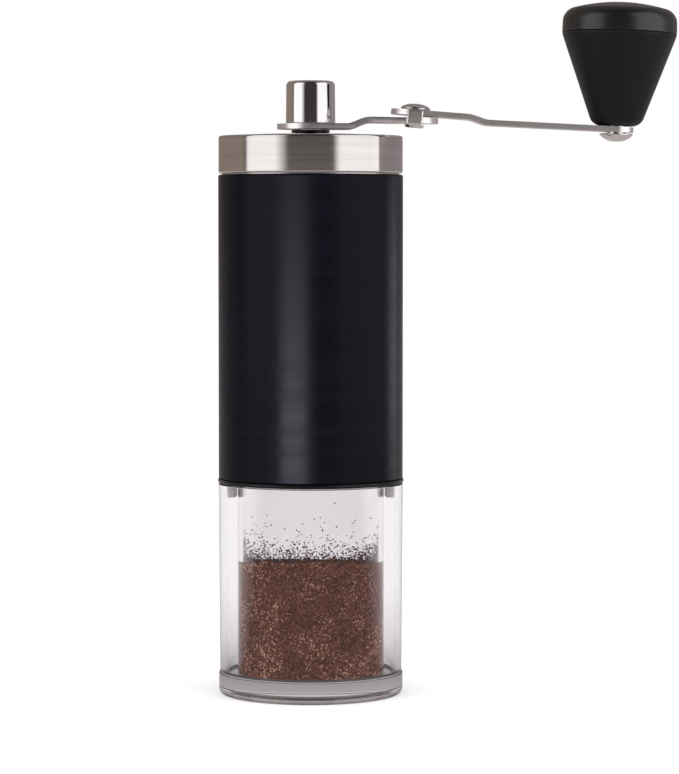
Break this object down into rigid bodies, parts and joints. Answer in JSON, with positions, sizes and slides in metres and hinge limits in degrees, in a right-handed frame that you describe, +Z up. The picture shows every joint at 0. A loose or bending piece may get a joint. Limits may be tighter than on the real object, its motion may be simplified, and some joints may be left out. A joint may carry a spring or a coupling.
{
  "type": "hand crank coffee grinder",
  "caption": "Slim upright conical burr coffee grinder with a black sleeve, brushed steel lid, folding crank with a tapered knob, and a clear jar of ground coffee.",
  "frame": {"origin": "on the grinder's axis, on the flat face of the jar's base that it stands on", "axes": "+Z up along the grinder's axis, +X along the crank arm towards the knob at rest, +Y away from the fold's stop ear"},
  "size_m": [0.1191, 0.0484, 0.1798],
  "materials": {
    "clear_acrylic": "gloss",
    "ground_coffee": "matte",
    "silicone": "matte",
    "gloss_black": "gloss",
    "black_sleeve": "satin",
    "brushed_steel": "satin",
    "polished_steel": "polished",
    "plain_steel": "satin",
    "chrome": "polished",
    "grey_plastic": "matte",
    "matte_black": "matte",
    "satin_black": "satin",
    "burr_ceramic": "matte",
    "bush_brass": "satin"
  },
  "bodies": {
    "jar": {"jar_base": "clear_acrylic", "jar_shell": "clear_acrylic", "jar_liner": "clear_acrylic", "ground_coffee": "ground_coffee"},
    "gasket": {"jar_gasket": "silicone"},
    "barrel": {"barrel_collar": "gloss_black", "outer_sleeve": "black_sleeve", "inner_barrel": "brushed_steel", "burr_housing": "grey_plastic", "ring_burr": "burr_ceramic", "burr_retainer": "matte_black", "housing_screw_1": "plain_steel", "housing_screw_2": "plain_steel", "housing_screw_3": "plain_steel", "lower_bush": "bush_brass", "upper_bracket": "grey_plastic", "upper_bush": "bush_brass"},
    "shaft": {"drive_shaft": "plain_steel", "thrust_washer": "plain_steel", "shaft_clip": "plain_steel", "burr_spring": "plain_steel"},
    "cone": {"inner_burr": "burr_ceramic", "burr_core": "grey_plastic"},
    "adjuster": {"adjuster_nut": "matte_black"},
    "lid": {"lid": "brushed_steel", "lid_bush": "matte_black", "lid_seal": "silicone"},
    "crank": {"socket_cap": "chrome", "inner_arm": "polished_steel"},
    "arm": {"outer_arm": "polished_steel", "hinge_rivet": "chrome", "knob_post": "chrome", "knob_push_nut": "plain_steel"},
    "knob": {"knob_body": "matte_black", "knob_cap": "satin_black"}
  },
  "joints": [
    {"name": "barrel_rise", "type": "slide", "parent": "jar", "child": "gasket", "axis": [0, 0, 1], "range_m": [0, 0.0075]},
    {"name": "barrel_unscrew", "type": "hinge", "parent": "gasket", "child": "barrel", "pos_m": [0, 0, 0.0546], "axis": [0, 0, 1], "range_deg": [0, 902]},
    {"name": "crank_spin", "type": "hinge", "parent": "barrel", "child": "shaft", "pos_m": [0, 0, 0.1511], "axis": [0, 0, 1], "continuous": true},
    {"name": "burr_drop", "type": "slide", "parent": "shaft", "child": "cone", "axis": [0, 0, -1], "range_m": [0, 0.002], "deforming": ["burr_spring"]},
    {"name": "adjuster_turn", "type": "hinge", "parent": "cone", "child": "adjuster", "pos_m": [0, 0, 0.0611], "axis": [0, 0, -1], "range_deg": [0, 722]},
    {"name": "crank_lift", "type": "slide", "parent": "shaft", "child": "crank", "axis": [0, 0, 1], "range_m": [0, 0.06]},
    {"name": "lid_lift", "type": "slide", "parent": "barrel", "child": "lid", "axis": [0, 0, 1], "range_m": [0, 0.0405]},
    {"name": "arm_fold", "type": "hinge", "parent": "crank", "child": "arm", "pos_m": [0.0271, 0, 0.15045], "axis": [0.0767, 0, 0.9971], "range_deg": [0, 150]},
    {"name": "knob_spin", "type": "hinge", "parent": "arm", "child": "knob", "pos_m": [0.07933, 0, 0.1469], "axis": [0.0297, 0, 0.9996], "continuous": true}
  ],
  "couplings": [
    {"joint": "barrel_unscrew", "follows": "barrel_rise", "rad_per_m": 2094.4},
    {"joint": "adjuster_turn", "follows": "burr_drop", "rad_per_m": 6283.2},
    {"joint": "lid_lift", "follows": "crank_lift", "ratio": 0.66667}
  ]
}
